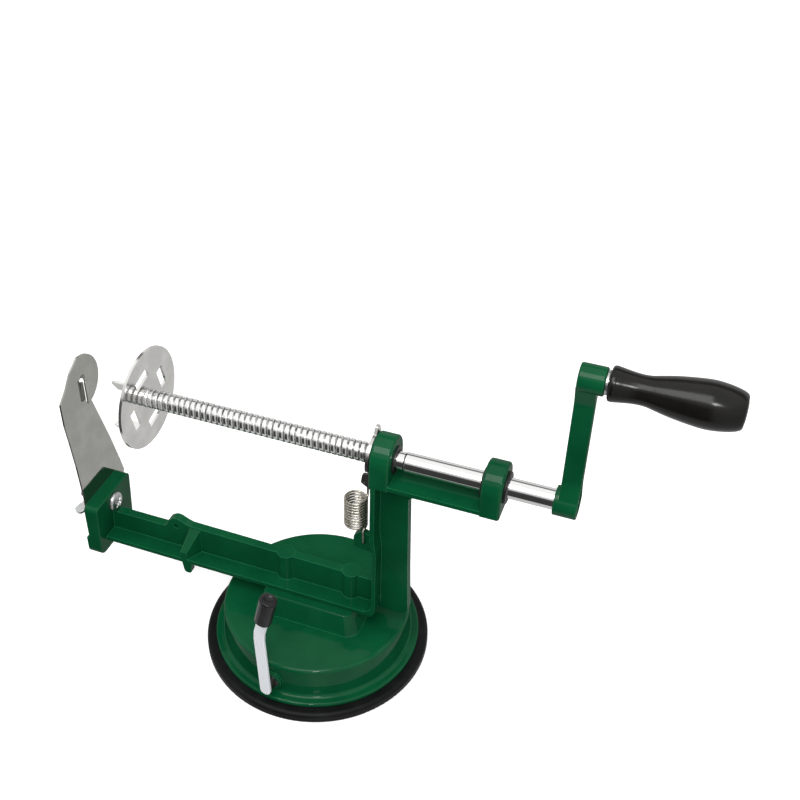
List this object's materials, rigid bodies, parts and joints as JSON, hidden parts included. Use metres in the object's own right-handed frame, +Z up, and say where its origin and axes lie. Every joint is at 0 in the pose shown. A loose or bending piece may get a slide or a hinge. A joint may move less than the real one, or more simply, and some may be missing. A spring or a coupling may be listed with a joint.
{
  "type": "spiral vegetable cutter",
  "caption": "Hand cranked tornado potato cutter: threaded feed shaft, round spiral blade, green cast frame on a suction base.",
  "frame": {"origin": "middle of the base's underside", "axes": "+X along the shaft toward the crank, +Y to the back, +Z up"},
  "size_m": [0.3305, 0.1233, 0.2203],
  "materials": {
    "green_enamel": "gloss",
    "black_rubber": "matte",
    "dark_rubber": "satin",
    "bright_steel": "polished",
    "sheet_steel": "fine brushed",
    "zinc_steel": "zinc plated",
    "lever_steel": "satin",
    "black_nylon": "satin",
    "black_grip": "gloss",
    "spring_steel": "bright drawn"
  },
  "bodies": {
    "base": {"base_housing": "green_enamel", "suction_ring": "black_rubber", "frame_casting": "green_enamel", "base_screw_left": "zinc_steel", "base_screw_right": "zinc_steel", "front_bush": "black_nylon", "spiral_blade": "sheet_steel", "blade_bolt": "zinc_steel", "wing_nut": "zinc_steel", "wing_washer": "zinc_steel", "catch_pin": "zinc_steel", "extension_spring": "spring_steel"},
    "stud": {"suction_centre": "black_rubber", "suction_stud": "zinc_steel"},
    "lever": {"cam_axle": "zinc_steel", "suction_lever": "lever_steel", "lever_cap": "dark_rubber", "lever_washer": "zinc_steel", "axle_clip": "zinc_steel"},
    "turning": {"turning_bush": "black_nylon"},
    "screw": {"feed_shaft": "bright_steel", "pusher_disc": "sheet_steel", "disc_nut": "zinc_steel", "crank_arm": "green_enamel", "crank_screw": "zinc_steel", "grip_pin": "zinc_steel", "grip_washer": "zinc_steel"},
    "handle": {"grip": "black_grip", "grip_plug": "black_grip"},
    "catch": {"release_catch": "sheet_steel"}
  },
  "joints": [
    {"name": "crank_turn", "type": "hinge", "parent": "base", "child": "turning", "pos_m": [0.092, 0, 0.14], "axis": [1, 0, 0], "range_deg": [-1200, 12480]},
    {"name": "shaft_feed", "type": "slide", "parent": "turning", "child": "screw", "axis": [1, 0, 0], "range_m": [-0.01001, 0.10401]},
    {"name": "grip_spin", "type": "hinge", "parent": "screw", "child": "handle", "pos_m": [0.16, 0, 0.21], "axis": [1, 0, 0], "continuous": true},
    {"name": "catch_release", "type": "hinge", "parent": "base", "child": "catch", "pos_m": [0.0313, 0.008, 0.131], "axis": [1, 0, 0], "range_deg": [-12, 0], "stiffness_Nm_per_rad": 0.2, "springref_deg": 8.59, "deforming": ["extension_spring"]},
    {"name": "lever_swing", "type": "hinge", "parent": "base", "child": "lever", "pos_m": [-0.00478, -0.0578, 0.016], "axis": [0.0825, 0.9966, 0], "range_deg": [-90, 0]},
    {"name": "stud_lift", "type": "slide", "parent": "base", "child": "stud", "axis": [0, 0, 1], "range_m": [-0.0025, 0]}
  ],
  "couplings": [
    {"joint": "shaft_feed", "follows": "crank_turn", "m_per_rad": 0.00047746},
    {"joint": "lever_swing", "follows": "stud_lift", "rad_per_m": 628}
  ]
}
